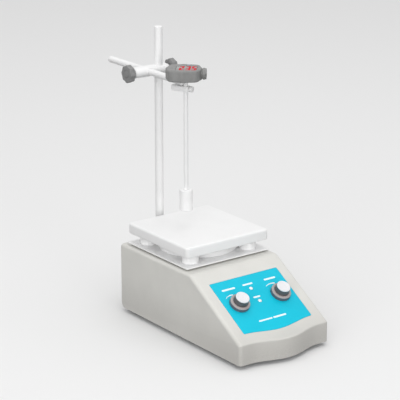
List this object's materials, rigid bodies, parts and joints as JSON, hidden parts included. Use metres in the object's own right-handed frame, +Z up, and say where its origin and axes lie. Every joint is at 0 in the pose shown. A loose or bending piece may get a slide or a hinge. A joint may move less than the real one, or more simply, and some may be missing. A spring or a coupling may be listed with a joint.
{
  "type": "hotplate stirrer",
  "caption": "Laboratory hotplate stirrer: square heated plate on a sloped housing with two knobs, and a rear rod whose boss head and arm hold a stem thermometer over the plate.",
  "frame": {"origin": "on the bench, under the middle of the outline box", "axes": "+X right, +Y back, +Z up; the control panel faces -Y"},
  "size_m": [0.1292, 0.3328, 0.3426],
  "materials": {
    "housing": "satin off-white",
    "sheet_metal": "plain",
    "foot_rubber": "matt black",
    "plate_coating": "satin white",
    "steel": "bright",
    "white_coated_steel": "satin white",
    "panel_film": "cyan",
    "knob_plastic": "dark grey",
    "cap_plastic": "white",
    "lamp_plastic": "white",
    "clamp_plastic": "grey",
    "case_plastic": "grey",
    "display": "dark window",
    "insulation": "fibre",
    "black_plastic": "black",
    "magnet": "plain",
    "nylon": "natural",
    "circuit_board": "green",
    "transformer_iron": "plain"
  },
  "bodies": {
    "base": {"housing": "housing", "base_plate": "sheet_metal", "foot_1": "foot_rubber", "foot_2": "foot_rubber", "foot_3": "foot_rubber", "foot_4": "foot_rubber", "foot_screw_1": "steel", "foot_screw_2": "steel", "foot_screw_3": "steel", "foot_screw_4": "steel", "heat_shield": "plate_coating", "plate_post_1": "plate_coating", "plate_post_2": "plate_coating", "plate_post_3": "plate_coating", "plate_post_4": "plate_coating", "top_plate": "plate_coating", "heater_element": "insulation", "insulation_pad": "insulation", "heater_cover": "sheet_metal", "heater_sensor": "steel", "control_panel": "panel_film", "power_lamp": "lamp_plastic", "heat_lamp": "lamp_plastic", "stir_pot": "black_plastic", "heat_pot": "black_plastic", "motor_bracket": "sheet_metal", "motor_body": "steel", "control_board": "circuit_board", "heat_sink": "sheet_metal", "transformer": "transformer_iron", "mains_inlet": "black_plastic", "fuse_holder": "black_plastic", "rod_socket": "housing", "socket_bolt_1": "steel", "socket_bolt_2": "steel"},
    "stir_control": {"stir_knob": "knob_plastic", "stir_knob_cap": "cap_plastic", "stir_pot_shaft": "steel"},
    "heat_control": {"heat_knob": "knob_plastic", "heat_knob_cap": "cap_plastic", "heat_pot_shaft": "steel"},
    "magnet_rotor": {"motor_shaft": "steel", "magnet_holder": "nylon", "drive_magnet_left": "magnet", "drive_magnet_right": "magnet"},
    "socket_clamp": {"socket_screw": "clamp_plastic"},
    "stand": {"support_rod": "white_coated_steel"},
    "boss": {"boss_head": "white_coated_steel"},
    "rod_clamp": {"rod_clamp_knob": "clamp_plastic"},
    "arm_clamp": {"arm_clamp_knob": "clamp_plastic"},
    "side_arm": {"arm": "white_coated_steel", "holder_pivot_pin": "steel"},
    "holder": {"probe_holder": "white_coated_steel"},
    "holder_clamp": {"holder_screw": "white_coated_steel"},
    "thermometer": {"thermometer_case": "case_plastic", "battery_cap": "case_plastic", "display_window": "display", "probe_stem": "white_coated_steel", "probe_sleeve": "white_coated_steel"},
    "button": {"display_button": "cap_plastic"}
  },
  "joints": [
    {"name": "stir_knob_turn", "type": "hinge", "parent": "base", "child": "stir_control", "pos_m": [-0.03, -0.10914, 0.0572], "axis": [0, 0.5158, -0.8567], "range_deg": [0, 270]},
    {"name": "heat_knob_turn", "type": "hinge", "parent": "base", "child": "heat_control", "pos_m": [0.03, -0.10914, 0.0572], "axis": [0, 0.5158, -0.8567], "range_deg": [0, 270]},
    {"name": "rotor_spin", "type": "hinge", "parent": "base", "child": "magnet_rotor", "pos_m": [0, 0.00995, 0.075], "axis": [0, 0, 1], "continuous": true},
    {"name": "socket_screw_turn", "type": "hinge", "parent": "base", "child": "socket_clamp", "pos_m": [0, 0.08845, 0.046], "axis": [0, 1, 0], "continuous": true},
    {"name": "rod_turn", "type": "hinge", "parent": "base", "child": "stand", "pos_m": [0, 0.08845, 0.035], "axis": [0, 0, 1], "continuous": true},
    {"name": "boss_slide", "type": "slide", "parent": "stand", "child": "boss", "axis": [0, 0, 1], "range_m": [-0.02, 0.044]},
    {"name": "rod_clamp_turn", "type": "hinge", "parent": "boss", "child": "rod_clamp", "pos_m": [0.018, 0.08845, 0.2905], "axis": [1, 0, 0], "continuous": true},
    {"name": "arm_clamp_turn", "type": "hinge", "parent": "boss", "child": "arm_clamp", "pos_m": [-0.04, 0.08845, 0.2905], "axis": [-1, 0, 0], "continuous": true},
    {"name": "arm_slide", "type": "slide", "parent": "boss", "child": "side_arm", "axis": [0, 1, 0], "range_m": [-0.05, 0.04]},
    {"name": "holder_swivel", "type": "hinge", "parent": "side_arm", "child": "holder", "pos_m": [-0.0165, 0.01995, 0.2862], "axis": [0, 0, 1], "range_deg": [-50, 3]},
    {"name": "holder_screw_turn", "type": "hinge", "parent": "holder", "child": "holder_clamp", "pos_m": [-0.01202, 0.01034, 0.2831], "axis": [0.4226, -0.9063, 0], "continuous": true},
    {"name": "probe_lift", "type": "slide", "parent": "holder", "child": "thermometer", "axis": [0, 0, 1], "range_m": [0, 0.115]},
    {"name": "display_button_press", "type": "slide", "parent": "thermometer", "child": "button", "axis": [0, 0, -1], "range_m": [0, 0.0008], "stiffness_N_per_m": 600, "springref_m": -0.0008}
  ]
}
